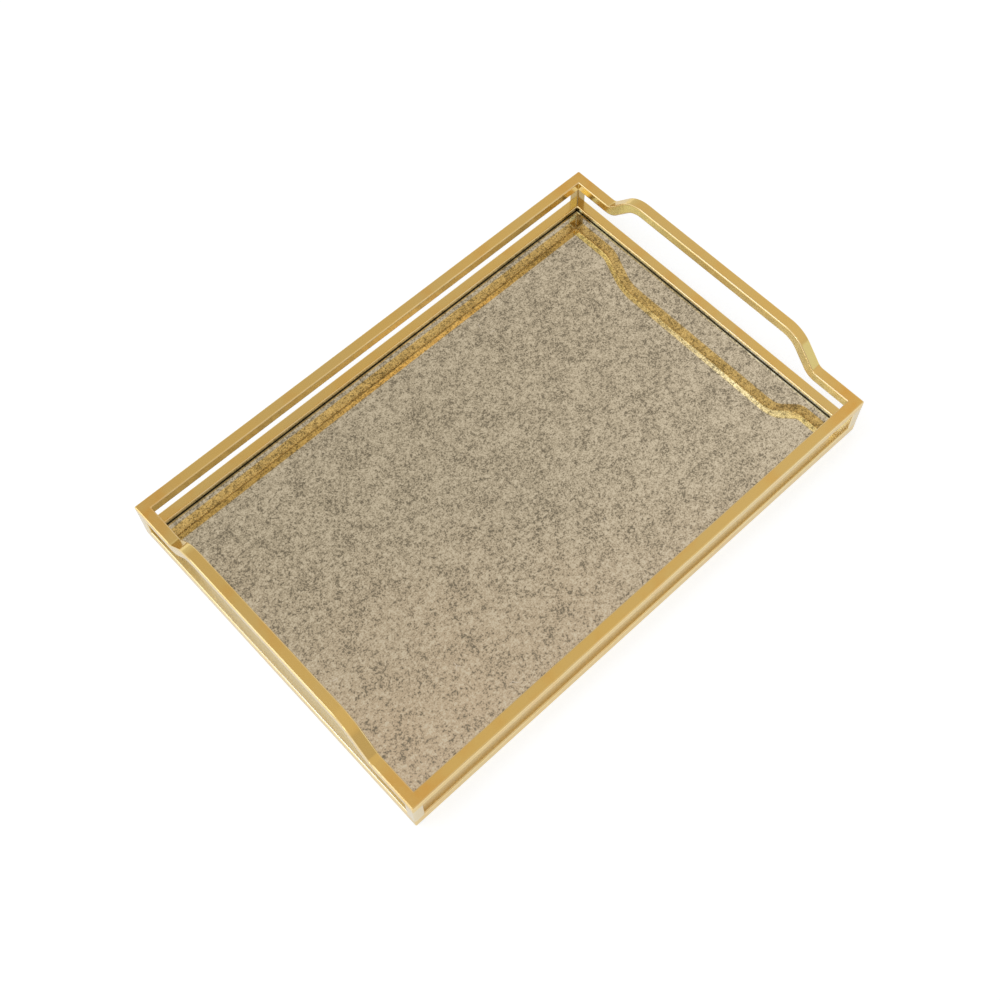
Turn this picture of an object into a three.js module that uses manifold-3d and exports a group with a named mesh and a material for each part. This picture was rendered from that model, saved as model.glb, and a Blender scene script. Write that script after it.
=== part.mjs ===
// Vanity tray: two mitred frames of square bar on four corner posts, with bent handles on the short sides
// and an antiqued mirror for a floor. Millimetres, +Z up, origin on the table under the middle of the tray.
// X runs along the long sides and the handles stand on the short sides.
import * as THREE from "three";
import { mergeVertices } from "three/addons/utils/BufferGeometryUtils.js";
import Module from "manifold-3d";

const wasm = await Module();
wasm.setup();

// Driving dimensions.
const TRAY_LENGTH = 400;
const TRAY_WIDTH = 270;
const FRAME_TOP = 38;
const BAR = 8; // width of every bar, and the height of the upper ones
const BAR_EDGE_RADIUS = 1;
const LOWER_RAIL_HEIGHT = 10;
const FOOT_HEIGHT = 1.5;
const SEAM = 0.1; // the thin line of braze at each joint between bars

const HANDLE_RISE = 23;
const HANDLE_FOOT = 95; // from the handle's middle to where its centre line starts to climb
const HANDLE_SHOULDER = 75; // from the handle's middle to where the climb ends
const FOOT_BEND_RADIUS = 10; // of the centre line, where the climb starts
const SHOULDER_BEND_RADIUS = 20; // where it ends
const BEND_STEPS = 8;

const LEDGE_WIDTH = 10;
const LEDGE_THICKNESS = 1.5;
const BOARD_THICKNESS = 1.5;
const PANE_THICKNESS = 3;
const PANE_CLEARANCE = 0.3; // all round, between the pane or its board and the lower rails
const PANE_CORNER_RADIUS = 1.5;
const PANE_ARRIS = 0.4; // the small chamfer ground on the pane's edges

const SCREW_RADIUS = 2;
const SCREW_LENGTH = 20;
const SCREW_HEAD_RADIUS = 3.6;
const SCREW_HEAD_HEIGHT = 1.8;
const SCREW_HEAD_RIM = 0.3; // the straight part of the head, below its taper
const SCREW_SOCKET_WIDTH = 2.5; // across the flats of the hexagon
const SCREW_SOCKET_DEPTH = 1.2;
const SCREW_CLEARANCE = 0.3;
const CUT_OVERRUN = 1; // how far a cutting solid runs out past the face that it opens

const BUMPER_RADIUS = 5;
const BUMPER_TOP_RADIUS = 4.4;
const BUMPER_INSET_X = 24; // from the tray's end to the foot's middle
const BUMPER_INSET_Y = 9;
const ROUND_SEGMENTS = 24;

// Heights that follow from them.
const RAIL_BOTTOM = FOOT_HEIGHT;
const LOWER_TOP = RAIL_BOTTOM + LOWER_RAIL_HEIGHT;
const UPPER_BOTTOM = FRAME_TOP - BAR;
const LEDGE_TOP = RAIL_BOTTOM + LEDGE_THICKNESS;
const BOARD_TOP = LEDGE_TOP + BOARD_THICKNESS;

const gold = material("#c9a160", 0.3, 1);
const silvering = material("#b8a88c", 0.08, 1);
const hardboard = material("#4a3a2c", 0.8, 0);
const steel = material("#b9b6ae", 0.35, 1);
const rubber = material("#2c2a28", 0.85, 0);

const tray = new THREE.Group();

function material(color, roughness, metalness) {
  return new THREE.MeshStandardMaterial({ color, roughness, metalness });
}

function add(name, geometry, surface) {
  const mesh = new THREE.Mesh(geometry, surface);
  mesh.name = name;
  tray.add(mesh);
  return mesh;
}

// A bar's cross-section: u runs from the outer face inwards and v runs upwards.
function barSection(width, height, radius) {
  const section = new THREE.Shape();
  if (radius === 0) {
    section.moveTo(0, 0).lineTo(width, 0).lineTo(width, height).lineTo(0, height).closePath();
    return section;
  }
  const right = width - radius;
  const top = height - radius;
  section.absarc(radius, radius, radius, Math.PI, 1.5 * Math.PI);
  section.absarc(right, radius, radius, 1.5 * Math.PI, 2 * Math.PI);
  section.absarc(right, top, radius, 0, 0.5 * Math.PI);
  section.absarc(radius, top, radius, 0.5 * Math.PI, Math.PI);
  section.closePath();
  return section;
}

// Lays a section through stations. Each station says where u = v = 0 lies and which way u and v run there,
// so an end is mitred by a station whose u direction leans along the bar.
function layBar(section, stations) {
  const last = stations.length - 1;
  const bar = new THREE.ExtrudeGeometry(section, {
    depth: last,
    steps: last,
    curveSegments: 2,
    bevelEnabled: false,
  });
  const position = bar.getAttribute("position");
  for (let i = 0; i < position.count; i++) {
    const station = stations[Math.round(position.getZ(i))];
    const point = station.origin
      .clone()
      .addScaledVector(station.inward, position.getX(i))
      .addScaledVector(station.up, position.getY(i));
    position.setXYZ(i, point.x, point.y, point.z);
  }
  bar.deleteAttribute("normal");
  bar.deleteAttribute("uv");
  bar.computeVertexNormals();
  return bar;
}

// The tray's four sides, in order anticlockwise from above.
const sides = ["front", "right", "back", "left"].map((name, turn) => {
  const angle = (turn * Math.PI) / 2;
  const along = new THREE.Vector3(Math.round(Math.cos(angle)), Math.round(Math.sin(angle)), 0);
  const inward = new THREE.Vector3(-along.y, along.x, 0);
  const longSide = turn % 2 === 0;
  return {
    name,
    along,
    inward,
    halfLength: (longSide ? TRAY_LENGTH : TRAY_WIDTH) / 2,
    toOuterFace: (longSide ? TRAY_WIDTH : TRAY_LENGTH) / 2,
  };
});

// A point of a side: reach along it from its middle, depth in from the tray's outer face, and height.
function pointOn(side, reach, depth, height) {
  return side.along
    .clone()
    .multiplyScalar(reach)
    .addScaledVector(side.inward, depth - side.toOuterFace)
    .setZ(height);
}

// The two mitred ends of a bar whose outer face lies depth inside the tray's.
function mitredEnds(side, depth, height) {
  const reach = side.halfLength - depth - SEAM / 2;
  const up = new THREE.Vector3(0, 0, 1);
  return [
    { origin: pointOn(side, -reach, depth, height), inward: side.inward.clone().add(side.along), up },
    { origin: pointOn(side, reach, depth, height), inward: side.inward.clone().sub(side.along), up },
  ];
}

// The stations of one bend, of turn radians (plus lifts the bar, minus lowers it), that rounds off the corner
// of the centre line at (reach, height). The bar arrives at the slope called heading.
function bendStations(side, reach, height, heading, turn, bendRadius) {
  const tangent = bendRadius * Math.tan(Math.abs(turn) / 2);
  const startReach = reach - tangent * Math.cos(heading);
  const startHeight = height - tangent * Math.sin(heading);
  const sense = Math.sign(turn);
  const centreReach = startReach - sense * bendRadius * Math.sin(heading);
  const centreHeight = startHeight + sense * bendRadius * Math.cos(heading);
  const stations = [];
  for (let step = 0; step <= BEND_STEPS; step++) {
    const slope = heading + (turn * step) / BEND_STEPS;
    const radius = bendRadius + (sense * BAR) / 2; // out to the bar's underside
    stations.push({
      origin: pointOn(
        side,
        centreReach + sense * radius * Math.sin(slope),
        0,
        centreHeight - sense * radius * Math.cos(slope),
      ),
      inward: side.inward,
      up: side.along.clone().multiplyScalar(-Math.sin(slope)).setZ(Math.cos(slope)),
    });
  }
  return stations;
}

// A short side's upper bar, which climbs to a raised handle and comes down again.
function handleStations(side) {
  const [start, end] = mitredEnds(side, 0, UPPER_BOTTOM);
  const slope = Math.atan2(HANDLE_RISE, HANDLE_FOOT - HANDLE_SHOULDER);
  const low = UPPER_BOTTOM + BAR / 2;
  const high = low + HANDLE_RISE;
  return [
    start,
    ...bendStations(side, -HANDLE_FOOT, low, 0, slope, FOOT_BEND_RADIUS),
    ...bendStations(side, -HANDLE_SHOULDER, high, slope, -slope, SHOULDER_BEND_RADIUS),
    ...bendStations(side, HANDLE_SHOULDER, high, 0, -slope, SHOULDER_BEND_RADIUS),
    ...bendStations(side, HANDLE_FOOT, low, -slope, slope, FOOT_BEND_RADIUS),
    end,
  ];
}

function asSolid(geometry) {
  const bare = geometry.clone();
  bare.deleteAttribute("normal");
  bare.deleteAttribute("uv");
  const merged = mergeVertices(bare, 1e-3);
  return new wasm.Manifold(
    new wasm.Mesh({
      numProp: 3,
      vertProperties: merged.getAttribute("position").array,
      triVerts: new Uint32Array(merged.index.array),
    }),
  );
}

function asGeometry(solid) {
  const mesh = solid.getMesh();
  const geometry = new THREE.BufferGeometry();
  geometry.setAttribute("position", new THREE.BufferAttribute(mesh.vertProperties, 3));
  geometry.setIndex(new THREE.BufferAttribute(mesh.triVerts, 1));
  geometry.computeVertexNormals();
  return geometry;
}

// Turns a profile of [radius, height] points about +Z.
function turned(profile, segments = ROUND_SEGMENTS) {
  const points = profile.map(([radius, height]) => new THREE.Vector2(radius, height));
  return new THREE.LatheGeometry(points, segments).rotateX(Math.PI / 2);
}

// The screw's outline, grown by clearance, with its head's underside flush at the bottom of the lower rails.
function screwBody(clearance) {
  const bottom = RAIL_BOTTOM - clearance;
  const rim = RAIL_BOTTOM + SCREW_HEAD_RIM;
  const neck = RAIL_BOTTOM + SCREW_HEAD_HEIGHT + clearance;
  const tip = RAIL_BOTTOM + SCREW_LENGTH + clearance;
  const radius = SCREW_RADIUS + clearance;
  return turned([
    [0, bottom],
    [SCREW_HEAD_RADIUS + clearance, bottom],
    [SCREW_HEAD_RADIUS + clearance, rim],
    [radius, neck],
    [radius, tip],
    [0, tip],
  ]);
}

function hexSocket() {
  const acrossCorners = SCREW_SOCKET_WIDTH / Math.cos(Math.PI / 6);
  const depth = SCREW_SOCKET_DEPTH + CUT_OVERRUN;
  return new THREE.CylinderGeometry(acrossCorners / 2, acrossCorners / 2, depth, 6)
    .rotateX(Math.PI / 2)
    .translate(0, 0, RAIL_BOTTOM + SCREW_SOCKET_DEPTH - depth / 2);
}

// The four corners, in order anticlockwise from the front left one.
const corners = [
  [-1, -1],
  [1, -1],
  [1, 1],
  [-1, 1],
].map(([signX, signY], i) => ({
  number: i + 1,
  signX,
  signY,
  x: signX * (TRAY_LENGTH / 2 - BAR / 2),
  y: signY * (TRAY_WIDTH / 2 - BAR / 2),
}));

const drillings = corners.map(({ x, y }) => asSolid(screwBody(SCREW_CLEARANCE)).translate([x, y, 0]));

function drilled(geometry) {
  return asGeometry(drillings.reduce((solid, hole) => solid.subtract(hole), asSolid(geometry)));
}

const squareSection = barSection(BAR, BAR, BAR_EDGE_RADIUS);

// Upper frame.
for (const side of sides) {
  const isHandle = side.name === "right" || side.name === "left";
  const stations = isHandle ? handleStations(side) : mitredEnds(side, 0, UPPER_BOTTOM);
  const kind = isHandle ? "handle_rail" : "upper_rail";
  add(`${kind}_${side.name}`, layBar(squareSection, stations), gold);
}

// Lower frame, with the ledge strips inside its foot.
const lowerSection = barSection(BAR, LOWER_RAIL_HEIGHT, BAR_EDGE_RADIUS);
const ledgeSection = barSection(LEDGE_WIDTH, LEDGE_THICKNESS, 0);
for (const side of sides) {
  add(`lower_rail_${side.name}`, drilled(layBar(lowerSection, mitredEnds(side, 0, RAIL_BOTTOM))), gold);
  add(`ledge_${side.name}`, layBar(ledgeSection, mitredEnds(side, BAR + SEAM, RAIL_BOTTOM)), gold);
}

// Corner posts, their screws from below, and the feet.
const postLength = UPPER_BOTTOM - LOWER_TOP - 2 * SEAM;
for (const { number, signX, signY, x, y } of corners) {
  const post = new THREE.ExtrudeGeometry(squareSection, {
    depth: postLength,
    curveSegments: 2,
    bevelEnabled: false,
  }).translate(x - BAR / 2, y - BAR / 2, LOWER_TOP + SEAM);
  add(`corner_post_${number}`, drilled(post), gold);

  const screw = asGeometry(asSolid(screwBody(0)).subtract(asSolid(hexSocket())));
  add(`post_screw_${number}`, screw, steel).position.set(x, y, 0);

  const bumper = turned([
    [0, 0],
    [BUMPER_TOP_RADIUS, 0],
    [BUMPER_RADIUS, FOOT_HEIGHT],
    [0, FOOT_HEIGHT],
  ]);
  const foot = add(`bumper_foot_${number}`, bumper, rubber);
  foot.position.x = signX * (TRAY_LENGTH / 2 - BUMPER_INSET_X);
  foot.position.y = signY * (TRAY_WIDTH / 2 - BUMPER_INSET_Y);
}

// A sheet that fills the lower frame, standing on height.
function sheet(thickness, height, arris) {
  const halfX = TRAY_LENGTH / 2 - BAR - PANE_CLEARANCE - arris;
  const halfY = TRAY_WIDTH / 2 - BAR - PANE_CLEARANCE - arris;
  const radius = PANE_CORNER_RADIUS;
  const outline = new THREE.Shape();
  outline.absarc(radius - halfX, radius - halfY, radius, Math.PI, 1.5 * Math.PI);
  outline.absarc(halfX - radius, radius - halfY, radius, 1.5 * Math.PI, 2 * Math.PI);
  outline.absarc(halfX - radius, halfY - radius, radius, 0, 0.5 * Math.PI);
  outline.absarc(radius - halfX, halfY - radius, radius, 0.5 * Math.PI, Math.PI);
  outline.closePath();
  return new THREE.ExtrudeGeometry(outline, {
    depth: thickness - 2 * arris,
    curveSegments: 4,
    bevelEnabled: arris > 0,
    bevelThickness: arris,
    bevelSize: arris,
    bevelSegments: 1,
  }).translate(0, 0, height + arris);
}

add("backing_board", sheet(BOARD_THICKNESS, LEDGE_TOP, 0), hardboard);
add("antique_mirror", sheet(PANE_THICKNESS, BOARD_TOP, PANE_ARRIS), silvering);

export default tray;
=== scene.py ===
import math

import bpy
from mathutils import Matrix, Vector


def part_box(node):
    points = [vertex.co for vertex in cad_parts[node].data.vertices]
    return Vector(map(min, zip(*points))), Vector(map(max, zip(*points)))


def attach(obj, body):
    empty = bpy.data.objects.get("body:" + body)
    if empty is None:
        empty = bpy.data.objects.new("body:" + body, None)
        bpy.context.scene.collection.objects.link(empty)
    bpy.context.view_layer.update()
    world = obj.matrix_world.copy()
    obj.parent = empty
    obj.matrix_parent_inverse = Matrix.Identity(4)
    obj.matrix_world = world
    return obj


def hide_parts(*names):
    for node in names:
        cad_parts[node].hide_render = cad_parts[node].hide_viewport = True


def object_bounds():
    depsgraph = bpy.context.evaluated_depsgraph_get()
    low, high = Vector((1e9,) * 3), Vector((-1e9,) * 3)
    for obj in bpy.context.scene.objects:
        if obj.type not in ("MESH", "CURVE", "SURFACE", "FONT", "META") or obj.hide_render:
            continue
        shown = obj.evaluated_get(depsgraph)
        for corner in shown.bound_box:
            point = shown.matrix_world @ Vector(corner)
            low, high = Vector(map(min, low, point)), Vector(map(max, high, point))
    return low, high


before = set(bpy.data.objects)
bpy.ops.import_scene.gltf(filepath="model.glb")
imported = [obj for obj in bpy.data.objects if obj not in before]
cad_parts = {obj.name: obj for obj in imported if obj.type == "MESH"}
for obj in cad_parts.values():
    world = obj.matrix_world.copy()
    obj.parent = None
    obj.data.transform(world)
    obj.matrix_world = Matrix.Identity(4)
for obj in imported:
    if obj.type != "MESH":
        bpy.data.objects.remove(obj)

cad_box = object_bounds()

# ---------------------------------------------------------------------------------------------------------
# Sizes, in metres. The ones in capitals are chosen here, and the rest are read from the frame.
# ---------------------------------------------------------------------------------------------------------
MM = 0.001
BODY = "root"
SMOOTH_ANGLE = math.radians(32)  # faces that meet at less than this are shaded as one curved surface

BAR_EDGE = 1.0 * MM  # radius of a bar's long edges
EDGE_STEPS = 6
FLAT_MARGIN = 0.15 * MM  # a narrow strip beside each rounded edge, which keeps the flats flat when shaded
CORNER_RADIUS = 0.9 * MM  # outer vertical edge of the frames' corners
INNER_CORNER_RADIUS = 0.5 * MM
CORNER_STEPS = 5

HANDLE_FOOT = 95 * MM  # from the handle's middle to where its centre line starts to climb
HANDLE_SHOULDER = 75 * MM
FOOT_BEND_RADIUS = 10 * MM
SHOULDER_BEND_RADIUS = 20 * MM
BEND_STEPS = 16

WELD_OVERLAP = 1.2 * MM  # how far a post is let into the rounded edges of the frames above and below it
WELD_FILLET = 1.3 * MM
FILLET_STEPS = 6
FILLET_WEAR = 0.5  # worn like a bar's edges, but half as much
WARM_PAINT_REACH = 42 * MM  # how far the corners' painted warm reflection reaches
FLUSH = 0.02 * MM  # what grinding leaves between two faces that are level

LEDGE_EDGE = 0.25 * MM
PANE_ARRIS = 0.4 * MM
BOARD_EDGE = 0.3 * MM
SHEET_CORNER = 1.5 * MM  # the pane's and the board's corners, seen from above
SHEET_CORNER_STEPS = 8
SHEET_EDGE_STEPS = 3

SCREW_SOCKET_WIDTH = 2.5 * MM
SCREW_SOCKET_DEPTH = 1.2 * MM
SCREW_SOCKET_POINT = 0.4 * MM  # the cone that the drill leaves at the bottom of the socket
SCREW_HEAD_RADIUS = 3.6 * MM
SCREW_HEAD_HEIGHT = 1.8 * MM
SCREW_HEAD_RIM = 0.3 * MM
SCREW_CHAMFER = 0.15 * MM
SCREW_TIP_CHAMFER = 0.3 * MM
SCREW_RADIUS = 2 * MM
SCREW_CLEARANCE = 0.3 * MM
CUTTER_MARGIN = 1 * MM  # how far a cutter sticks out of what it cuts
ROUND_STEPS = 48

FOOT_PAD = 0.84  # the flat pad's share of a foot's radius
FOOT_PAD_INNER = 0.5  # the pad's inner ring, as a share of the pad
FOOT_RIM = 0.85  # the rounded rim's share of a foot's height
FOOT_RIM_STEPS = 8

upper_low, upper_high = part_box("upper_rail_front")
lower_low, lower_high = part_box("lower_rail_front")
ledge_low, ledge_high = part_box("ledge_front")
HALF_LENGTH = cad_box[1].x
HALF_WIDTH = cad_box[1].y
BAR = upper_high.y - upper_low.y
HANDLE_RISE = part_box("handle_rail_right")[1].z - upper_high.z


# ---------------------------------------------------------------------------------------------------------
# Mesh tools
# ---------------------------------------------------------------------------------------------------------
def make_piece(name, vertices, faces, material, nodes, grain=None):
    """A piece that rides on the tray and stands for CAD nodes. grain holds, for each face's corners, where
    the corner is along and around a bar and how far it is on an edge."""
    mesh = bpy.data.meshes.new(name)
    mesh.from_pydata(vertices, [], faces)
    if grain:
        layer = mesh.attributes.new("bar", "FLOAT_VECTOR", "CORNER")
        layer.data.foreach_set("vector", [value for corner in grain for value in corner])
    mesh.materials.append(material)
    mesh.shade_smooth()
    mesh.set_sharp_from_angle(angle=SMOOTH_ANGLE)
    mesh.update()
    piece = bpy.data.objects.new(name, mesh)
    bpy.context.scene.collection.objects.link(piece)
    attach(piece, BODY)
    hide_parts(*nodes)
    return piece


def ring_faces(rows, count):
    """The faces between rows of rings, each of count vertices, and then the faces that close the first and
    the last ring."""
    faces = []
    for start in range(0, (rows - 1) * count, count):
        for i in range(count):
            j = (i + 1) % count
            faces.append((start + i, start + j, start + count + j, start + count + i))
    faces.append(tuple(reversed(range(count))))
    faces.append(tuple(range((rows - 1) * count, rows * count)))
    return faces


def bar_section(width, height, radius):
    """The outline of a bar as (u, v, edge): u runs inwards from the outer face, v runs up, and edge is 1 in
    the middle of a rounded corner and 0 on the flats."""
    margin = min(FLAT_MARGIN, radius / 2)

    def flat_point(u, v, angle, along):
        """A point on the flat that meets the corner about (u, v) at angle, along from where they meet."""
        cos, sin = math.cos(angle), math.sin(angle)
        return u + radius * cos - sin * along, v + radius * sin + cos * along, 0.0

    arcs = [  # each rounded corner's centre, and the angle where it starts
        (radius, radius, 180),
        (width - radius, radius, 270),
        (width - radius, height - radius, 0),
        (radius, height - radius, 90),
    ]
    points = []
    for u, v, start in arcs:
        first, last = math.radians(start), math.radians(start + 90)
        points.append(flat_point(u, v, first, -margin))
        for step in range(EDGE_STEPS + 1):
            turn = first + (last - first) * step / EDGE_STEPS
            edge = math.sin(math.pi * step / EDGE_STEPS)
            points.append((u + radius * math.cos(turn), v + radius * math.sin(turn), edge))
        points.append(flat_point(u, v, last, margin))
    return points


def station(origin, inward, up):
    """A place along a bar: where u = v = 0 lies, and which way u and v run."""
    return {"origin": origin, "inward": inward, "up": up}


def lay_bar(section, stations):
    """The vertices, faces and grain of a section laid through stations, with flat ends."""
    vertices = []
    for place in stations:
        vertices += [place["origin"] + place["inward"] * u + place["up"] * v for u, v, _ in section]
    travelled = [0.0]
    for before, after in zip(stations, stations[1:]):
        travelled.append(travelled[-1] + (after["origin"] - before["origin"]).length)
    around = [0.0]
    for before, after in zip(section, section[1:] + section[:1]):
        around.append(around[-1] + math.dist(before[:2], after[:2]))

    count = len(section)
    faces = ring_faces(len(stations), count)
    grain = []
    for here, there in zip(travelled, travelled[1:]):
        for i in range(count):
            near, far = section[i][2], section[(i + 1) % count][2]
            grain += [
                (here, around[i], near),
                (here, around[i + 1], far),
                (there, around[i + 1], far),
                (there, around[i], near),
            ]
    for end, reach in ((faces[-2], travelled[0]), (faces[-1], travelled[-1])):
        grain += [(reach, around[i % count], 0.0) for i in end]
    return vertices, faces, grain


def turned(rings, centre):
    """The vertices and faces of a closed piece of rings about a vertical axis. A ring is (radius, height),
    and radius may be a function of the angle."""
    vertices = []
    for radius, height in rings:
        for step in range(ROUND_STEPS):
            angle = 2 * math.pi * step / ROUND_STEPS
            reach = radius(angle) if callable(radius) else radius
            vertices.append(centre + Vector((reach * math.cos(angle), reach * math.sin(angle), height)))
    return vertices, ring_faces(len(rings), ROUND_STEPS)


def plate(low, high, edge):
    """The vertices and faces of a flat sheet with rounded corners and rounded edges."""
    centre = (low + high) / 2
    half = (high - low) / 2
    layers = [(edge + FLAT_MARGIN, low.z)]
    for step in range(SHEET_EDGE_STEPS + 1):
        turn = math.pi / 2 * step / SHEET_EDGE_STEPS
        layers.append((edge * (1 - math.sin(turn)), low.z + edge * (1 - math.cos(turn))))
    layers += [(inset, low.z + high.z - height) for inset, height in reversed(layers)]
    vertices = []
    for inset, height in layers:
        for sign_x, sign_y, start in ((1, 1, 0), (-1, 1, 90), (-1, -1, 180), (1, -1, 270)):
            for step in range(SHEET_CORNER_STEPS + 1):
                angle = math.radians(start + 90 * step / SHEET_CORNER_STEPS)
                reach = SHEET_CORNER - inset
                x = centre.x + sign_x * (half.x - SHEET_CORNER) + reach * math.cos(angle)
                y = centre.y + sign_y * (half.y - SHEET_CORNER) + reach * math.sin(angle)
                vertices.append(Vector((x, y, height)))
    return vertices, ring_faces(len(layers), 4 * (SHEET_CORNER_STEPS + 1))


def outward(vertices, faces):
    """The faces turned, if need be, so that a closed mesh's normals point out."""
    volume = 0.0
    for face in faces:
        for i in range(1, len(face) - 1):
            a, b, c = (vertices[face[k]] for k in (0, i, i + 1))
            volume += a.dot(b.cross(c))
    return faces if volume > 0 else [tuple(reversed(face)) for face in faces]


def drill(piece, holes):
    """Cuts closed (vertices, faces) holes out of a piece."""
    for vertices, faces in holes:
        mesh = bpy.data.meshes.new("hole")
        mesh.from_pydata(vertices, [], faces)
        cutter = bpy.data.objects.new("hole", mesh)
        bpy.context.scene.collection.objects.link(cutter)
        cut = piece.modifiers.new("hole", "BOOLEAN")
        cut.operation = "DIFFERENCE"
        cut.solver = "EXACT"
        cut.object = cutter
        graph = bpy.context.evaluated_depsgraph_get()
        result = bpy.data.meshes.new_from_object(piece.evaluated_get(graph))
        piece.modifiers.remove(cut)
        piece.data = result
        bpy.data.objects.remove(cutter)
    piece.data.set_sharp_from_angle(angle=SMOOTH_ANGLE)


# ---------------------------------------------------------------------------------------------------------
# Node tools
# ---------------------------------------------------------------------------------------------------------
def add_node(tree, kind, values=None, **settings):
    """A new node. values are numbers or sockets for its inputs, and settings are its own properties."""
    made = tree.nodes.new(kind)
    for key, value in settings.items():
        setattr(made, key, value)
    for key, value in (values or {}).items():
        if isinstance(value, bpy.types.NodeSocket):
            tree.links.new(value, made.inputs[key])
        else:
            made.inputs[key].default_value = value
    return made


def maths(tree, operation, a, b=0.0):
    return add_node(tree, "ShaderNodeMath", {0: a, 1: b}, operation=operation).outputs[0]


def remap(tree, value, low, high, to_low=0.0, to_high=1.0):
    """value from low to high becomes to_low to to_high, with soft ends."""
    values = {"Value": value, "From Min": low, "From Max": high, "To Min": to_low, "To Max": to_high}
    return add_node(tree, "ShaderNodeMapRange", values, interpolation_type="SMOOTHSTEP").outputs[0]


def mix(tree, factor, a, b):
    """A colour between a and b."""
    return add_node(tree, "ShaderNodeMix", {0: factor, 6: a, 7: b}, data_type="RGBA").outputs[2]


def noise(tree, place, scale, detail=2.0, roughness=0.5):
    values = {"Vector": place, "Scale": scale, "Detail": detail, "Roughness": roughness}
    return add_node(tree, "ShaderNodeTexNoise", values).outputs["Fac"]


def stretch(tree, place, x, y, z):
    values = {0: place, 1: (x, y, z)}
    return add_node(tree, "ShaderNodeVectorMath", values, operation="MULTIPLY").outputs[0]


def bump(tree, height, distance, strength=1.0, normal=None):
    values = {"Height": height, "Distance": distance, "Strength": strength}
    if normal:
        values["Normal"] = normal
    return add_node(tree, "ShaderNodeBump", values).outputs[0]


def new_material(name):
    """A material with its node tree, its shader and the place on the object in metres."""
    material = bpy.data.materials.new(name)
    material.use_nodes = True
    tree = material.node_tree
    place = tree.nodes.new("ShaderNodeTexCoord").outputs["Object"]
    return material, tree, tree.nodes["Principled BSDF"], place


def connect(tree, shader, **sockets):
    for name, socket in sockets.items():
        tree.links.new(socket, shader.inputs[name.replace("_", " ")])


# ---------------------------------------------------------------------------------------------------------
# Materials
# ---------------------------------------------------------------------------------------------------------
GOLD = (0.86, 0.615, 0.200, 1)
GOLD_OLIVE = (0.83, 0.62, 0.230, 1)
# also the colour of the painted warm reflection round the corners
GOLD_DEEP = (0.85, 0.505, 0.125, 1)
GOLD_WORN = (0.94, 0.82, 0.57, 1)
# painted sheen: the pale colour painted where bright reflections fall between the frames
GOLD_SHEEN_PAINT = (0.99, 0.93, 0.66, 1)
GOLD_UNPOLISHED = (0.79, 0.57, 0.24, 1)
# the posts' painted pale reflection, and the back right post's painted shade
GOLD_PALE_REFLECTION_PAINT = (0.80, 0.70, 0.49, 1)
GOLD_SHADE_PAINT = (0.43, 0.32, 0.14, 1)
GOLD_GLANCING = (0.76, 0.74, 0.70, 1)  # the tint of reflections at a low angle
# painted shade on the lower frame's inner walls
WALL_SHADE_PAINT = (0.60, 0.53, 0.33, 1)
POST_PAINT_SHARE = 0.85  # how far the posts' gold is shifted to their painted reflection colour, at the back right to painted shade
POST_PAINT_LEAST = 0.85  # the olive patches' share of that
SHEEN_FRONT = 0.6  # how strong the painted sheen is in front, where the left is 1
SHEEN_UNDER = 0.4  # how strong the painted sheen is under the upper frame, where the lower frame's top is 1
SHEEN_FADE = 1 * MM  # how far in from the bars the painted sheen fades out
TOP_GONE = 0.8 * MM  # a mark on a frame's top is gone this far from the top's level,
TOP_FULL = 0.2 * MM  # and full this near to it

SILVERING = (0.64, 0.595, 0.467, 1)
# painted warm reflection on the mirror's front left
SILVERING_WARM_REFLECTION = (0.78, 0.665, 0.502, 1)
# painted shade round the pane's edge
SILVERING_BORDER = (0.20, 0.185, 0.14, 1)
PALE_GRAIN = (0.89, 0.85, 0.70, 1)
DARK_GRAIN = (0.255, 0.235, 0.18, 1)
SCRATCH = (0.95, 0.92, 0.85, 1)

BOARD = (0.030, 0.022, 0.016, 1)
BOARD_FIBRE = (0.065, 0.048, 0.034, 1)
BOARD_SCUFF = (0.12, 0.095, 0.07, 1)
STEEL = (0.58, 0.56, 0.52, 1)
STEEL_TARNISHED = (0.34, 0.31, 0.27, 1)
RUBBER = (0.022, 0.021, 0.020, 1)
RUBBER_DUSTY = (0.075, 0.070, 0.062, 1)


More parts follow.
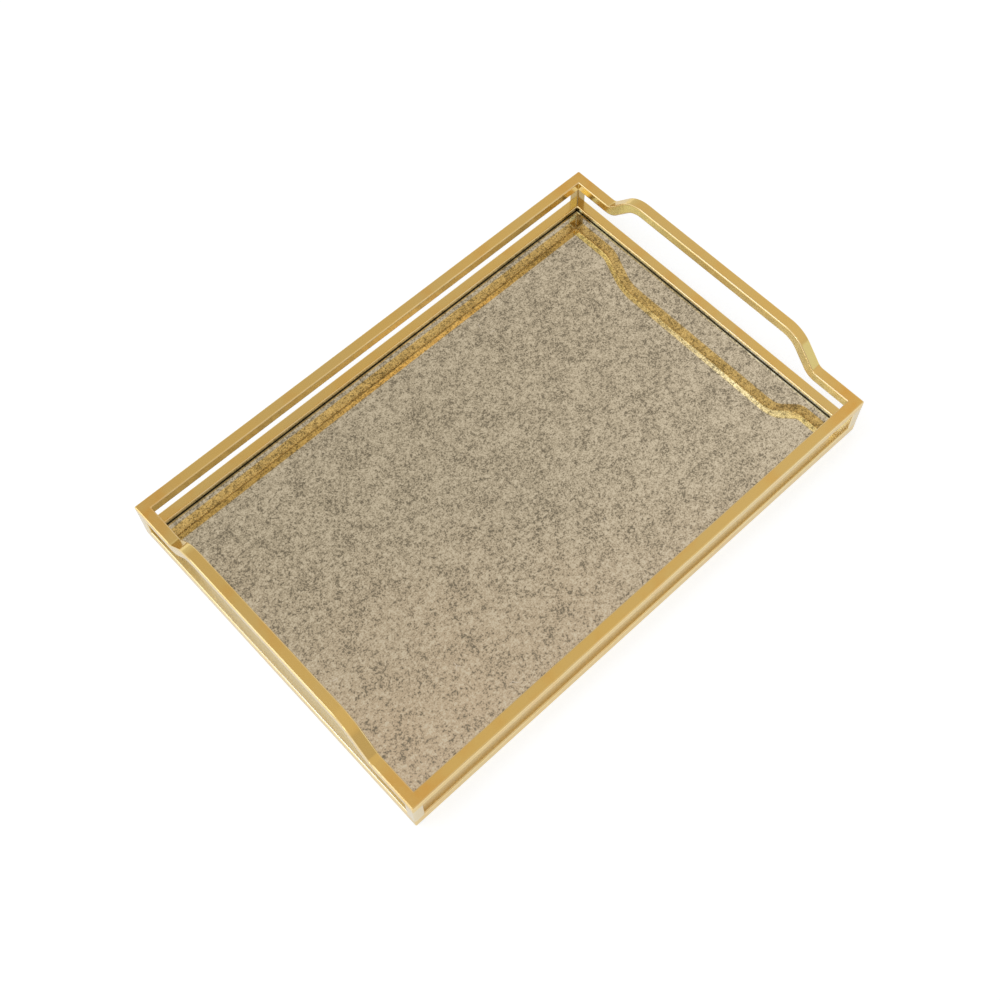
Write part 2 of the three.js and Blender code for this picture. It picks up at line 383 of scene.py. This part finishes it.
def satin_gold(name="satin_gold", paint_colour=GOLD, paint_share=0.0):
    """Lacquered satin gold plate: finely brushed along the bar, drifting between olive and orange tones,
    painted a little redder on top round the corners as a painted warm reflection, and worn a little paler
    along the edges. Undersides are unpolished, and in front and on the left the gold is painted pale where
    the two frames face each other, a painted sheen for the bright reflections there. The lower frame's inner
    walls get painted shade down beside the pane. The whole can be shifted towards another colour, for the
    posts' painted reflection and painted shade."""
    material, tree, shader, place = new_material(name)
    bar = add_node(tree, "ShaderNodeAttribute", attribute_name="bar")
    split = add_node(tree, "ShaderNodeSeparateXYZ", {0: bar.outputs["Vector"]})
    edge = split.outputs["Z"]

    tone = remap(tree, noise(tree, place, 17, 2), 0.35, 0.65)
    stain = remap(tree, noise(tree, place, 45, 3), 0.5, 0.75, 0.0, 0.5)
    brushing = noise(tree, stretch(tree, bar.outputs["Vector"], 30, 1100, 0), 1, 2, 0.5)
    normal = add_node(tree, "ShaderNodeNewGeometry").outputs["Normal"]
    upwards = add_node(tree, "ShaderNodeSeparateXYZ", {0: normal}).outputs["Z"]
    underside = remap(tree, upwards, -0.6, -0.3, 1.0, 0.0)
    wear = maths(tree, "MULTIPLY", edge, remap(tree, noise(tree, place, 60, 2), 0.3, 0.7, 0.3, 0.6))

    colour = mix(tree, tone, GOLD, GOLD_OLIVE)
    # random stain, and round the corners on top a painted warm reflection
    colour = mix(tree, maths(tree, "MAXIMUM", stain, warm_reflection_paint(tree, place)), colour, GOLD_DEEP)
    colour = mix(tree, wear, colour, GOLD_WORN)
    colour = mix(tree, underside, colour, GOLD_UNPOLISHED)
    # painted sheen on the frames' left and front, where they face each other
    sheen = maths(tree, "MULTIPLY", painted_sheen(tree, place, underside), maths(tree, "SUBTRACT", 1.0, edge))
    colour = mix(tree, sheen, colour, GOLD_SHEEN_PAINT)
    # painted shade on the lower frame's inner walls beside the pane
    colour = mix(tree, painted_wall_shade(tree, place), colour, WALL_SHADE_PAINT)
    # for the posts: the whole colour shifted towards their painted reflection colour, at the back right
    # painted shade
    if paint_share:
        colour = mix(tree, remap(tree, tone, 0.0, 1.0, paint_share, paint_share * POST_PAINT_LEAST), colour, paint_colour)

    rough = remap(tree, brushing, 0.3, 0.7, 0.18, 0.21)
    rough = maths(tree, "ADD", rough, maths(tree, "MULTIPLY", underside, 0.25))
    waviness = bump(tree, noise(tree, place, 40, 1), 0.005 * MM)
    relief = bump(tree, brushing, 0.0001 * MM, normal=waviness)

    shader.inputs["Metallic"].default_value = 1.0
    shader.inputs["Specular Tint"].default_value = GOLD_GLANCING
    shader.inputs["Coat Weight"].default_value = 0.25
    shader.inputs["Coat Roughness"].default_value = 0.08
    shader.inputs["Coat IOR"].default_value = 1.5
    connect(tree, shader, Base_Color=colour, Roughness=rough, Normal=relief)
    return material


def side_distances(tree, place):
    """How far out from the tray's middle a place is, along X and along Y, and its height."""
    split = add_node(tree, "ShaderNodeSeparateXYZ", {0: place})
    out_x = maths(tree, "ABSOLUTE", split.outputs["X"])
    out_y = maths(tree, "ABSOLUTE", split.outputs["Y"])
    return out_x, out_y, split.outputs["Z"]


def warm_reflection_paint(tree, place):
    """Painted warm reflection: the plate painted a little redder on top, round the four corners, in patches.
    """
    out_x, out_y, height = side_distances(tree, place)
    top = remap(tree, height, upper_high.z - TOP_GONE, upper_high.z - TOP_FULL)
    near_x = remap(tree, out_x, HALF_LENGTH - WARM_PAINT_REACH, HALF_LENGTH - BAR)
    near_y = remap(tree, out_y, HALF_WIDTH - WARM_PAINT_REACH, HALF_WIDTH - BAR)
    patchy = remap(tree, noise(tree, place, 90, 2), 0.3, 0.7, 0.3, 1.0)
    corner = maths(tree, "MULTIPLY", near_x, near_y)
    return maths(tree, "MULTIPLY", maths(tree, "MULTIPLY", corner, patchy), top)


def painted_sheen(tree, place, underside):
    """Painted sheen: how much paler the gold is painted on top of the lower frame and under the upper one,
    standing in for the bright reflections there: most on the left, some in front."""
    split = add_node(tree, "ShaderNodeSeparateXYZ", {0: place})
    height = split.outputs["Z"]
    inner_x, inner_y = BAR - HALF_LENGTH, BAR - HALF_WIDTH
    left = remap(tree, split.outputs["X"], inner_x, inner_x + SHEEN_FADE, 1.0, 0.0)
    front = remap(tree, split.outputs["Y"], inner_y, inner_y + SHEEN_FADE, SHEEN_FRONT, 0.0)
    top = remap(tree, height, lower_high.z - TOP_GONE, lower_high.z - TOP_FULL)
    low = remap(tree, height, lower_high.z + TOP_FULL, lower_high.z + TOP_GONE, 1.0, 0.0)
    under = maths(tree, "MULTIPLY", underside, SHEEN_UNDER)
    between = maths(tree, "MAXIMUM", maths(tree, "MULTIPLY", top, low), under)
    return maths(tree, "MULTIPLY", maths(tree, "MAXIMUM", left, front), between)


def painted_wall_shade(tree, place):
    """Painted shade on the lower frame's inner walls: darker and darker from their rounded top edge to the
    pane.
    """
    out_x, out_y, height = side_distances(tree, place)
    across = maths(tree, "SUBTRACT", out_x, HALF_LENGTH - BAR)
    deep = maths(tree, "SUBTRACT", out_y, HALF_WIDTH - BAR)
    wall = remap(tree, maths(tree, "MAXIMUM", across, deep), 0.1 * MM, 0.25 * MM, 1.0, 0.0)
    below = remap(tree, maths(tree, "SUBTRACT", lower_high.z, height), 0.4 * MM, 2.5 * MM)
    return maths(tree, "MULTIPLY", wall, below)


def antiqued_silvering():
    """Mirror glass over foxed silvering: a beige reflection broken up by fine dark grain, which gathers in
    clumps and clouds, is thicker in foxed patches and softer at the front left, with paler grains between, a
    dark line round the edge and a few hairline scratches. The front left is also painted warmer and paler, a
    painted warm reflection, and the dark line round the edge is painted shade for the gap beside the frame."""
    material, tree, shader, place = new_material("antiqued_silvering")
    fine = noise(tree, place, 900, 3, 0.7)
    medium = noise(tree, place, 400, 2, 0.6)
    clumps = noise(tree, place, 170, 2, 0.5)
    foxing = remap(tree, noise(tree, place, 85, 2, 0.5), 0.54, 0.70, 0.0, 0.09)
    clouds = noise(tree, place, 36, 3, 0.6)

    split = add_node(tree, "ShaderNodeSeparateXYZ", {0: place})
    drift = maths(tree, "MULTIPLY", maths(tree, "SUBTRACT", noise(tree, place, 14, 2), 0.5), 0.12)
    nearness = maths(tree, "ADD", maths(tree, "MULTIPLY", split.outputs["X"], 0.6), split.outputs["Y"])
    front_left = remap(tree, maths(tree, "ADD", nearness, drift), -0.26, 0.02, 1.0, 0.0)

    level = 0.0
    fine_share = remap(tree, front_left, 0.0, 1.0, 1.25, 0.75)
    for field, share in ((fine, fine_share), (medium, 0.65), (clumps, 0.48), (clouds, 0.15)):
        swing = maths(tree, "MULTIPLY", maths(tree, "SUBTRACT", field, 0.5), share)
        level = maths(tree, "ADD", swing, level)
    level = maths(tree, "SUBTRACT", level, foxing)

    # painted warm reflection: the front left painted warmer and paler
    colour = mix(tree, front_left, SILVERING, SILVERING_WARM_REFLECTION)
    colour = mix(tree, remap(tree, level, -0.01, 0.19), colour, PALE_GRAIN)
    dark = remap(tree, level, -0.21, 0.0, 1.0, 0.0)
    colour = mix(tree, dark, colour, DARK_GRAIN)
    # painted shade round the pane's edge, where the gap beside the frame is in shadow
    colour = mix(tree, edge_line(tree, place), colour, SILVERING_BORDER)
    colour = mix(tree, scratches(tree, place), colour, SCRATCH)

    rough = remap(tree, dark, 0.0, 1.0, 0.045, 0.075)
    relief = bump(tree, clouds, 0.001 * MM)
    shader.inputs["Metallic"].default_value = 1.0
    shader.inputs["Coat Weight"].default_value = 0.6
    shader.inputs["Coat Roughness"].default_value = 0.03
    shader.inputs["Coat IOR"].default_value = 1.5
    connect(tree, shader, Base_Color=colour, Roughness=rough, Normal=relief)
    return material


def edge_line(tree, place):
    """1 on the pane's ground edges and on a dark border of its silvering, which wavers a little: painted
    shade for the shadowed gap between the pane and the frame.
    """
    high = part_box("antique_mirror")[1]
    out_x, out_y, _ = side_distances(tree, place)
    across = maths(tree, "SUBTRACT", high.x, out_x)
    deep = maths(tree, "SUBTRACT", high.y, out_y)
    waver = maths(tree, "MULTIPLY", noise(tree, place, 300, 2), 0.6 * MM)
    inset = maths(tree, "SUBTRACT", maths(tree, "MINIMUM", across, deep), waver)
    return remap(tree, inset, 0.1 * MM, 0.7 * MM, 0.85, 0.0)


def scratches(tree, place):
    """Short curved hairlines: thin cell borders, kept only in a few small patches."""
    shift = maths(tree, "MULTIPLY", maths(tree, "SUBTRACT", noise(tree, place, 60, 2), 0.5), 6 * MM)
    offset = add_node(tree, "ShaderNodeCombineXYZ", {0: shift, 1: shift})
    bent = add_node(tree, "ShaderNodeVectorMath", {0: place, 1: offset.outputs[0]}, operation="ADD")
    values = {"Vector": bent.outputs[0], "Scale": 55}
    cells = add_node(tree, "ShaderNodeTexVoronoi", values, feature="DISTANCE_TO_EDGE")
    line = remap(tree, cells.outputs["Distance"], 0.006, 0.014, 1.0, 0.0)
    patch = remap(tree, noise(tree, place, 75, 1), 0.72, 0.76)
    return maths(tree, "MULTIPLY", maths(tree, "MULTIPLY", line, patch), 0.7)


def painted_hardboard():
    """Dark painted hardboard with the woven screen pattern of its rough side, fibres and faint scuffs."""
    material, tree, shader, place = new_material("painted_hardboard")
    waves = []
    for direction in ("X", "Y"):
        values = {"Vector": place, "Scale": 130, "Distortion": 0.6, "Detail": 1.0}
        made = add_node(tree, "ShaderNodeTexWave", values, bands_direction=direction)
        waves.append(made.outputs["Fac"])
    weave = maths(tree, "MULTIPLY", waves[0], waves[1])
    fibres = noise(tree, stretch(tree, place, 1, 5, 1), 260, 4, 0.7)
    scuffs = remap(tree, noise(tree, place, 35, 5, 0.7), 0.58, 0.78, 0.0, 0.5)
    colour = mix(tree, fibres, BOARD, BOARD_FIBRE)
    colour = mix(tree, scuffs, colour, BOARD_SCUFF)
    relief = bump(tree, weave, 0.15 * MM, 0.6, bump(tree, fibres, 0.08 * MM, 0.5))
    rough = remap(tree, fibres, 0.3, 0.7, 0.62, 0.88)
    connect(tree, shader, Base_Color=colour, Roughness=rough, Normal=relief)
    return material


def machined_steel():
    """Plain steel with fine turning marks and a little tarnish."""
    material, tree, shader, place = new_material("machined_steel")
    tarnish = remap(tree, noise(tree, place, 700, 3, 0.6), 0.45, 0.7, 0.0, 0.6)
    marks = noise(tree, stretch(tree, place, 9000, 9000, 500), 1, 2)
    colour = mix(tree, tarnish, STEEL, STEEL_TARNISHED)
    rough = remap(tree, marks, 0.3, 0.7, 0.28, 0.45)
    shader.inputs["Metallic"].default_value = 1.0
    connect(tree, shader, Base_Color=colour, Roughness=rough, Normal=bump(tree, marks, 0.01 * MM, 0.5))
    return material


def bumper_rubber():
    """Soft matt rubber, dusty and faintly grained."""
    material, tree, shader, place = new_material("bumper_rubber")
    dust = remap(tree, noise(tree, place, 500, 4, 0.7), 0.45, 0.75, 0.0, 0.5)
    pores = noise(tree, place, 3500, 2)
    colour = mix(tree, dust, RUBBER, RUBBER_DUSTY)
    rough = remap(tree, dust, 0.0, 0.5, 0.68, 0.9)
    connect(tree, shader, Base_Color=colour, Roughness=rough, Normal=bump(tree, pores, 0.03 * MM, 0.5))
    return material


gold = satin_gold()
# posts: a lit copy with painted pale reflection, and a shaded copy with painted shade for the back right
pale_reflection_gold = satin_gold("pale_reflection_gold", GOLD_PALE_REFLECTION_PAINT, POST_PAINT_SHARE)
painted_shade_gold = satin_gold("painted_shade_gold", GOLD_SHADE_PAINT, POST_PAINT_SHARE)
silvering = antiqued_silvering()
hardboard = painted_hardboard()
steel = machined_steel()
rubber = bumper_rubber()


# ---------------------------------------------------------------------------------------------------------
# The two frames
# ---------------------------------------------------------------------------------------------------------
UP = Vector((0, 0, 1))


def make_sides():
    """The tray's four sides, anticlockwise from above, each with its direction along and inwards."""
    made = []
    for turn, name in enumerate(("front", "right", "back", "left")):
        angle = turn * math.pi / 2
        along = Vector((round(math.cos(angle)), round(math.sin(angle)), 0))
        long_side = turn % 2 == 0
        made.append({
            "name": name,
            "along": along,
            "inward": Vector((-along.y, along.x, 0)),
            "half": HALF_LENGTH if long_side else HALF_WIDTH,
            "face": HALF_WIDTH if long_side else HALF_LENGTH,
        })
    return made


def point_on(side, reach, depth, height):
    """A point of a side: reach along it from its middle, depth in from the outer face, and height."""
    return side["along"] * reach + side["inward"] * (depth - side["face"]) + UP * height


def corner_stations(side, end, depth, width, height):
    """The stations from a bar's straight part to the mitre at one end, +1 or -1. The outer face turns on
    the corner's radius and the inner face on its own."""
    made = []
    for step in range(CORNER_STEPS + 1):
        angle = math.pi / 4 * step / CORNER_STEPS
        faces = []
        for start, radius in ((depth, CORNER_RADIUS), (depth + width, INNER_CORNER_RADIUS)):
            reach = side["half"] - start - radius * (1 - math.sin(angle))
            faces.append(point_on(side, end * reach, start + radius * (1 - math.cos(angle)), height))
        outer, inner = faces
        made.append(station(outer, (inner - outer) / width, UP))
    return made if end > 0 else made[::-1]


def bend_stations(side, reach, height, heading, turn, bend_radius):
    """The stations of one bend of a handle, which rounds off the corner of the centre line."""
    tangent = bend_radius * math.tan(abs(turn) / 2)
    sense = 1 if turn > 0 else -1
    start_reach = reach - tangent * math.cos(heading)
    start_height = height - tangent * math.sin(heading)
    centre_reach = start_reach - sense * bend_radius * math.sin(heading)
    centre_height = start_height + sense * bend_radius * math.cos(heading)
    radius = bend_radius + sense * BAR / 2
    made = []
    for step in range(BEND_STEPS + 1):
        slope = heading + turn * step / BEND_STEPS
        origin = point_on(
            side,
            centre_reach + sense * radius * math.sin(slope),
            0,
            centre_height - sense * radius * math.cos(slope),
        )
        made.append(station(origin, side["inward"], side["along"] * -math.sin(slope) + UP * math.cos(slope)))
    return made


def handle_bends(side):
    """The four bends that lift a short side's upper bar into a handle."""
    slope = math.atan2(HANDLE_RISE, HANDLE_FOOT - HANDLE_SHOULDER)
    low = upper_low.z + BAR / 2
    high = low + HANDLE_RISE
    return [
        *bend_stations(side, -HANDLE_FOOT, low, 0, slope, FOOT_BEND_RADIUS),
        *bend_stations(side, -HANDLE_SHOULDER, high, slope, -slope, SHOULDER_BEND_RADIUS),
        *bend_stations(side, HANDLE_SHOULDER, high, 0, -slope, SHOULDER_BEND_RADIUS),
        *bend_stations(side, HANDLE_FOOT, low, -slope, slope, FOOT_BEND_RADIUS),
    ]


def make_rail(side, node, name, width, height, edge, depth=0, middle=()):
    """One mitred bar of a frame, depth in from the tray's outer face, with any bends in its middle."""
    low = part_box(node)[0].z
    section = bar_section(width, height, edge)
    stations = [
        *corner_stations(side, -1, depth, width, low),
        *middle,
        *corner_stations(side, 1, depth, width, low),
    ]
    vertices, faces, grain = lay_bar(section, stations)
    return make_piece(name, vertices, faces, gold, [node], grain)


def screw_hole(x, y):
    """The countersunk hole for a post's screw, as a cutter that starts below the lower frame."""
    bottom = lower_low.z
    head = SCREW_HEAD_RADIUS + SCREW_CLEARANCE
    shank = SCREW_RADIUS + SCREW_CLEARANCE
    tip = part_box("post_screw_1")[1].z + SCREW_CLEARANCE
    rings = [
        (head, bottom - CUTTER_MARGIN),
        (head, bottom + SCREW_HEAD_RIM),
        (shank, bottom + SCREW_HEAD_HEIGHT + SCREW_CLEARANCE),
        (shank, tip),
    ]
    return turned(rings, Vector((x, y, 0)))


corners = [(-1, -1), (1, -1), (1, 1), (-1, 1)]
post_places = [(sx * (HALF_LENGTH - BAR / 2), sy * (HALF_WIDTH - BAR / 2)) for sx, sy in corners]
holes = [screw_hole(x, y) for x, y in post_places]

for index, side in enumerate(make_sides()):
    handle = side["name"] in ("right", "left")
    upper = f"{'handle' if handle else 'upper'}_rail_{side['name']}"
    height = upper_high.z - upper_low.z
    bends = handle_bends(side) if handle else ()
    make_rail(side, upper, f"{upper}_bar", BAR, height, BAR_EDGE, middle=bends)

    lower = f"lower_rail_{side['name']}"
    height = lower_high.z - lower_low.z
    rail = make_rail(side, lower, f"{lower}_bar", BAR, height, BAR_EDGE)
    drill(rail, [holes[index], holes[(index + 1) % len(holes)]])

    ledge = f"ledge_{side['name']}"
    width = ledge_high.y - ledge_low.y
    height = ledge_high.z - ledge_low.z
    make_rail(side, ledge, f"{ledge}_strip", width, height, LEDGE_EDGE, depth=ledge_low.y + HALF_WIDTH)


# ---------------------------------------------------------------------------------------------------------
# Corner posts, screws and feet
# ---------------------------------------------------------------------------------------------------------
def weld_fillet(corner, direction, across):
    """A concave fillet under the upper frame, beside a post. It starts at corner, runs out along direction,
    and is as wide as the bar's flat along across."""
    outline = [(0.0, 0.0)]
    for step in range(FILLET_STEPS + 1):
        angle = math.pi / 2 * step / FILLET_STEPS
        outline.append((WELD_FILLET * (1 - math.sin(angle)), -WELD_FILLET * (1 - math.cos(angle))))
    outline = [(reach - FLUSH, drop + FLUSH) for reach, drop in outline]
    count = len(outline)
    vertices = []
    for start in (BAR_EDGE, BAR - BAR_EDGE):
        vertices += [corner + across * start + direction * reach + UP * drop for reach, drop in outline]
    faces = [(i, (i + 1) % count, count + (i + 1) % count, count + i) for i in range(count)]
    faces += [tuple(reversed(range(count))), tuple(range(count, 2 * count))]
    return vertices, faces


def make_post(number, sign_x, sign_y, material):
    """A corner post: both ends are brazed into the frames and ground flush, and on top there is a fillet on
    each of its two inner sides."""
    outer = Vector((sign_x * HALF_LENGTH, sign_y * HALF_WIDTH, 0))
    into_x, into_y = Vector((-sign_x, 0, 0)), Vector((0, -sign_y, 0))
    section = bar_section(BAR - 2 * FLUSH, BAR - 2 * FLUSH, BAR_EDGE)
    origin = outer + (into_x + into_y) * FLUSH
    # The section runs anticlockwise seen from above, so that the post's faces point out at every corner.
    first, second = (into_x, into_y) if sign_x * sign_y > 0 else (into_y, into_x)
    ends = (lower_high.z - WELD_OVERLAP, upper_low.z + WELD_OVERLAP)
    stations = [station(origin + UP * height, first, second) for height in ends]
    vertices, faces, grain = lay_bar(section, stations)
    under = outer + UP * upper_low.z
    for direction, across in ((into_x, into_y), (into_y, into_x)):
        fillet, fillet_faces = weld_fillet(under + direction * BAR, direction, across)
        fillet_faces = outward(fillet, fillet_faces)
        start = len(vertices)
        vertices += fillet
        faces += [tuple(start + i for i in face) for face in fillet_faces]
        grain += [(0.0, 0.0, FILLET_WEAR) for face in fillet_faces for _ in face]
    name = f"corner_post_{number}"
    post = make_piece(f"{name}_bar", vertices, faces, material, [name], grain)
    drill(post, [holes[number - 1]])


def hexagon(width):
    """The radius of a hexagon, width across its flats, as a function of the angle."""
    sector = math.pi / 3
    return lambda angle: width / 2 / math.cos((angle + sector / 2) % sector - sector / 2)


def make_screw(number, x, y):
    """A countersunk screw with a hexagon socket, head down."""
    low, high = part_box(f"post_screw_{number}")
    bottom = low.z
    socket = hexagon(SCREW_SOCKET_WIDTH)
    rings = [
        (SCREW_SOCKET_POINT, bottom + SCREW_SOCKET_DEPTH + SCREW_SOCKET_POINT),
        (socket, bottom + SCREW_SOCKET_DEPTH),
        (socket, bottom + SCREW_CHAMFER),
        (hexagon(SCREW_SOCKET_WIDTH + 2 * SCREW_CHAMFER), bottom),
        (SCREW_HEAD_RADIUS - SCREW_CHAMFER, bottom),
        (SCREW_HEAD_RADIUS, bottom + SCREW_CHAMFER),
        (SCREW_HEAD_RADIUS, bottom + SCREW_HEAD_RIM),
        (SCREW_RADIUS, bottom + SCREW_HEAD_HEIGHT),
        (SCREW_RADIUS, high.z - SCREW_TIP_CHAMFER),
        (SCREW_RADIUS - SCREW_TIP_CHAMFER, high.z),
    ]
    vertices, faces = turned(rings, Vector((x, y, 0)))
    name = f"post_screw_{number}"
    make_piece(f"{name}_hex", vertices, outward(vertices, faces), steel, [name])


def make_foot(number):
    """A bumper foot with a flat pad, a rounded rim and a broad top."""
    low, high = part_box(f"bumper_foot_{number}")
    centre = Vector(((low.x + high.x) / 2, (low.y + high.y) / 2, 0))
    radius = (high.x - low.x) / 2
    pad = radius * FOOT_PAD
    rim = high.z * FOOT_RIM
    rings = [(pad * FOOT_PAD_INNER, low.z)]
    for step in range(FOOT_RIM_STEPS + 1):
        turn = math.pi / 2 * step / FOOT_RIM_STEPS
        rings.append((pad + (radius - pad) * math.sin(turn), low.z + rim * (1 - math.cos(turn))))
    rings.append((radius, high.z))
    vertices, faces = turned(rings, centre)
    name = f"bumper_foot_{number}"
    make_piece(f"{name}_pad", vertices, outward(vertices, faces), rubber, [name])


for number, ((sign_x, sign_y), (x, y)) in enumerate(zip(corners, post_places), start=1):
    # The post at the back right gets painted shade, and the others a painted pale reflection.
    back_right = sign_x > 0 and sign_y > 0
    make_post(number, sign_x, sign_y, painted_shade_gold if back_right else pale_reflection_gold)
    make_screw(number, x, y)
    make_foot(number)


# ---------------------------------------------------------------------------------------------------------
# The floor of the tray
# ---------------------------------------------------------------------------------------------------------
def make_sheet(node, name, edge, material):
    vertices, faces = plate(*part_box(node), edge)
    make_piece(name, vertices, outward(vertices, faces), material, [node])


make_sheet("antique_mirror", "mirror_pane", PANE_ARRIS, silvering)
make_sheet("backing_board", "backing_sheet", BOARD_EDGE, hardboard)


# ---------------------------------------------------------------------------------------------------------
# Studio: floor, light and camera
# ---------------------------------------------------------------------------------------------------------
FLOOR_REACH = 3.0
FLOOR_STEPS = 24
FLOOR_COOL = (0.46, 0.46, 0.465, 1)
FLOOR_PALE = (0.49, 0.49, 0.49, 1)
FLOOR_GLOW = (0.93, 0.97, 1.0, 1)

ROOM_OVERHEAD = (0.615, 0.545, 0.465, 1)
ROOM_OVERHEAD_RIGHT = (0.75, 0.66, 0.57, 1)
ROOM_OVERHEAD_FRONT = (0.77, 0.69, 0.61, 1)
ROOM_OVERHEAD_LEFT = (0.93, 0.88, 0.86, 1)
ROOM_LOW = (0.72, 0.70, 0.66, 1)
ROOM_LOW_LEFT = (0.98, 0.96, 0.90, 1)
ROOM_LOW_FRONT = (0.56, 0.51, 0.48, 1)

WHITE = (1.0, 1.0, 1.0)
COOL_WHITE = (0.95, 1.0, 0.97)
SKY_BLUE = (0.45, 0.72, 1.0)
PALE_BLUE = (0.5, 0.8, 1.0)
DEEP_BLUE = (0.32, 0.46, 1.0)
AMBER = (1.0, 0.72, 0.45)
LAMPS = [  # name, place, width, height, colour and brightness
    ("overhead_left", (-0.50, 0.44, 1.60), 0.30, 0.40, DEEP_BLUE, 3.2),
    ("overhead_left_back", (-0.94, 1.16, 1.60), 0.5, 0.5, SKY_BLUE, 1.1),
    ("overhead_left_front", (-0.95, 0.08, 1.60), 0.5, 0.5, SKY_BLUE, 1.1),
    ("left", (-1.60, 0.72, 1.00), 0.9, 0.7, COOL_WHITE, 0.9),
    ("front_left", (-1.69, -0.76, 0.72), 0.32, 0.32, WHITE, 4.5),
    ("front_right_low", (1.15, -1.75, 0.32), 1.1, 0.7, PALE_BLUE, 0.35),
    ("warm_lamp", (0.62, -0.64, 1.60), 0.36, 0.36, AMBER, 0.40),
]

CAMERA_AIM = Vector((-0.0231, -0.0196, 0.030))
CAMERA_DISTANCE = 0.914
CAMERA_AZIMUTH = -41.93
CAMERA_ELEVATION = 62.68
CAMERA_ROLL = -1.28
CAMERA_LENS = 50.84


def make_floor():
    """A broad pale floor, lit a little from within like a light table."""
    grid = [FLOOR_REACH * (2 * step / FLOOR_STEPS - 1) for step in range(FLOOR_STEPS + 1)]
    vertices = [(x, y, 0) for y in grid for x in grid]
    faces = []
    for row in range(FLOOR_STEPS):
        for column in range(FLOOR_STEPS):
            near = row * len(grid) + column
            far = near + len(grid)
            faces.append((near, near + 1, far + 1, far))
    material, tree, shader, place = new_material("pale_floor")
    colour = mix(tree, noise(tree, place, 3, 3), FLOOR_COOL, FLOOR_PALE)
    connect(tree, shader, Base_Color=colour)
    shader.inputs["Roughness"].default_value = 0.9
    shader.inputs["Specular IOR Level"].default_value = 0.1
    shader.inputs["Emission Color"].default_value = FLOOR_GLOW
    shader.inputs["Emission Strength"].default_value = 0.70
    mesh = bpy.data.meshes.new("studio_floor")
    mesh.from_pydata(vertices, [], faces)
    mesh.materials.append(material)
    floor = bpy.data.objects.new("studio_floor", mesh)
    bpy.context.scene.collection.objects.link(floor)


def make_world():
    """A pale warm room: overhead it is brighter to the left, to the right and in front, and low down it is
    bright to the left and dim in front."""
    world = bpy.data.worlds.new("studio")
    world.use_nodes = True
    tree = world.node_tree
    direction = tree.nodes.new("ShaderNodeTexCoord").outputs["Generated"]
    split = add_node(tree, "ShaderNodeSeparateXYZ", {0: direction})
    right = remap(tree, split.outputs["X"], 0.25, 0.65)
    front = remap(tree, split.outputs["Y"], 0.12, 0.45, 1.0, 0.0)
    left = remap(tree, split.outputs["X"], -0.6, 0.1, 1.0, 0.0)
    overhead = mix(tree, right, ROOM_OVERHEAD, ROOM_OVERHEAD_RIGHT)
    overhead = mix(tree, maths(tree, "MULTIPLY", front, 0.6), overhead, ROOM_OVERHEAD_FRONT)
    overhead = mix(tree, left, overhead, ROOM_OVERHEAD_LEFT)
    low_front = remap(tree, split.outputs["Y"], -0.9, -0.3, 1.0, 0.0)
    around = mix(tree, left, ROOM_LOW, ROOM_LOW_LEFT)
    around = mix(tree, low_front, around, ROOM_LOW_FRONT)
    low = remap(tree, split.outputs["Z"], 0.15, 0.55, 1.0, 0.0)
    tree.links.new(mix(tree, low, overhead, around), tree.nodes["Background"].inputs["Color"])
    bpy.context.scene.world = world


def softbox(name, place, width, height, colour, brightness):
    """A rectangular light that faces the tray. brightness is how bright its face looks."""
    data = bpy.data.lights.new(name, "AREA")
    data.shape = "RECTANGLE"
    data.size = width
    data.size_y = height
    data.color = colour
    data.energy = brightness * 4 * width * height  # the face's brightness is energy over four times its area
    light = bpy.data.objects.new(name, data)
    light.location = place
    light.rotation_mode = "QUATERNION"
    light.rotation_quaternion = Vector(place).to_track_quat("Z", "Y")
    light.visible_camera = False
    bpy.context.scene.collection.objects.link(light)


def make_camera():
    """The camera looks down over the tray's front left corner."""
    azimuth, elevation, roll = (math.radians(a) for a in (CAMERA_AZIMUTH, CAMERA_ELEVATION, CAMERA_ROLL))
    back = Vector((
        math.sin(azimuth) * math.cos(elevation),
        -math.cos(azimuth) * math.cos(elevation),
        math.sin(elevation),
    ))
    level_right = Vector((math.cos(azimuth), math.sin(azimuth), 0))
    level_up = back.cross(level_right)
    right = level_right * math.cos(roll) + level_up * math.sin(roll)
    up = level_up * math.cos(roll) - level_right * math.sin(roll)
    data = bpy.data.cameras.new("camera")
    data.lens = CAMERA_LENS
    camera = bpy.data.objects.new("camera", data)
    place = CAMERA_AIM + back * CAMERA_DISTANCE
    camera.matrix_world = Matrix.Translation(place) @ Matrix((right, up, back)).transposed().to_4x4()
    bpy.context.scene.collection.objects.link(camera)
    bpy.context.scene.camera = camera


make_floor()
make_world()
for lamp in LAMPS:
    softbox(*lamp)
make_camera()
bpy.context.scene.view_settings.view_transform = "Standard"
